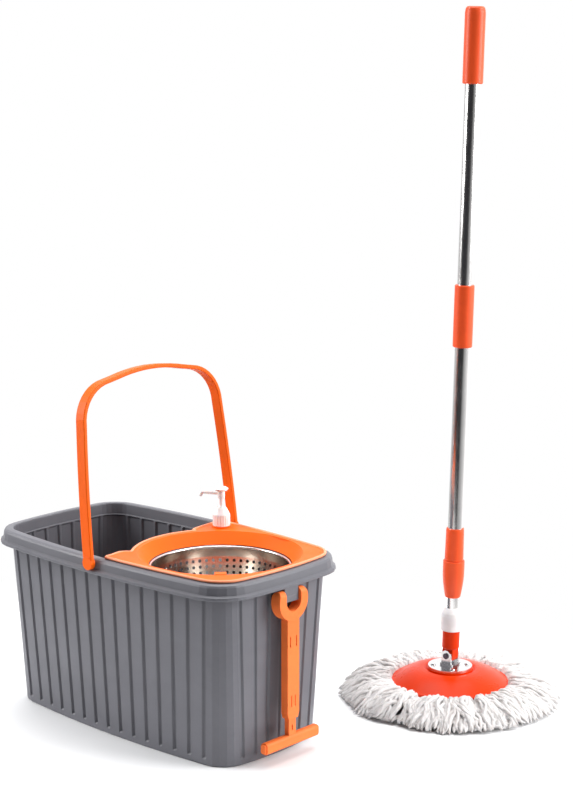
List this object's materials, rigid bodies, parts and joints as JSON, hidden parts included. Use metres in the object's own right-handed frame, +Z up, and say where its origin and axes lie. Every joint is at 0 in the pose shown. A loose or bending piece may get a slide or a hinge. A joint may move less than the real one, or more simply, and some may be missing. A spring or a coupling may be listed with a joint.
{
  "type": "spin mop",
  "caption": "Spin mop set: a long fluted bucket with a perforated spinning wringer basket, soap pump, bail and pull handle, and a telescopic mop with a round microfibre head.",
  "frame": {"origin": "middle of the bucket's underside, at floor level", "axes": "+X along the bucket towards the pull handle, +Y towards the side where the mop stands, +Z up"},
  "size_m": [0.684, 0.6656, 1.0159],
  "materials": {
    "grey_plastic": "moulded, slightly satin",
    "orange_plastic": "moulded, glossy",
    "red_orange_plastic": "moulded, glossy",
    "white_plastic": "moulded, glossy",
    "steel": "pressed stainless steel",
    "bright_tube": "polished steel tube",
    "microfibre": "looped microfibre strands"
  },
  "bodies": {
    "bucket_set": {"bucket": "grey_plastic", "insert_deck": "orange_plastic", "spindle_post": "grey_plastic", "spindle_pin": "steel", "soap_tank": "white_plastic", "pump_collar": "white_plastic", "pump_barrel": "white_plastic", "pump_ball": "steel", "dip_tube": "white_plastic", "pump_spring": "steel", "pull_pin": "steel"},
    "bail": {"bail_handle": "orange_plastic", "bail_pins": "grey_plastic"},
    "basket": {"basket_bowl": "steel", "basket_hub": "white_plastic", "basket_screws": "steel", "spindle_bush": "white_plastic"},
    "pump_plunger": {"pump_head": "white_plastic", "pump_piston": "white_plastic"},
    "pull_handle": {"pull_sleeve": "orange_plastic"},
    "pull_grip": {"pull_bar": "orange_plastic"},
    "mop_head": {"mop_strands": "microfibre", "strand_ring": "white_plastic", "mop_disc": "red_orange_plastic", "swivel_plate": "steel", "plate_screws": "steel", "tilt_pin": "steel"},
    "mop_base": {"mop_neck": "red_orange_plastic", "swivel_collar": "white_plastic", "inner_tube": "bright_tube", "drive_nut": "white_plastic"},
    "guide": {"guide_bush": "white_plastic"},
    "pole": {"twist_rod": "steel", "rod_plug": "white_plastic", "lower_tube": "bright_tube", "tube_joint": "red_orange_plastic", "upper_tube": "bright_tube", "top_grip": "red_orange_plastic", "grip_cap": "red_orange_plastic", "lock_body": "red_orange_plastic"},
    "lock": {"lock_grip": "red_orange_plastic"}
  },
  "joints": [
    {"name": "bail_swing", "type": "hinge", "parent": "bucket_set", "child": "bail", "pos_m": [0, 0, 0.258], "axis": [0, 1, 0], "range_deg": [-82, 95]},
    {"name": "basket_spin", "type": "hinge", "parent": "bucket_set", "child": "basket", "pos_m": [0.115, 0, 0.15], "axis": [0, 0, 1], "continuous": true},
    {"name": "pump_press", "type": "slide", "parent": "bucket_set", "child": "pump_plunger", "axis": [0, 0, -1], "range_m": [0, 0.012], "stiffness_N_per_m": 400, "springref_m": -0.004, "deforming": ["pump_spring"]},
    {"name": "pull_swing", "type": "hinge", "parent": "bucket_set", "child": "pull_handle", "pos_m": [0.247, 0, 0.232], "axis": [0, -1, 0], "range_deg": [0, 95]},
    {"name": "grip_pull", "type": "slide", "parent": "pull_handle", "child": "pull_grip", "axis": [0, 0, -1], "range_m": [0, 0.06]},
    {"name": "mop_lift", "type": "slide", "parent": "bucket_set", "child": "mop_head", "axis": [0, 0, 1], "range_m": [0, 0.3]},
    {"name": "pole_tilt", "type": "hinge", "parent": "mop_head", "child": "mop_base", "pos_m": [0.257, 0.344, 0.065], "axis": [0, 1, 0], "range_deg": [-86, 84]},
    {"name": "pole_pump", "type": "slide", "parent": "mop_base", "child": "guide", "axis": [0.0262, 0, 0.9997], "range_m": [0, 0.12]},
    {"name": "pole_spin", "type": "hinge", "parent": "guide", "child": "pole", "pos_m": [0.26485, 0.344, 0.3649], "axis": [0.0262, 0, 0.9997], "range_deg": [0, 275]},
    {"name": "lock_twist", "type": "hinge", "parent": "pole", "child": "lock", "pos_m": [0.26014, 0.344, 0.18496], "axis": [0.0262, 0, 0.9997], "range_deg": [0, 45]}
  ],
  "couplings": [
    {"joint": "pole_spin", "follows": "pole_pump", "rad_per_m": 39.27}
  ]
}
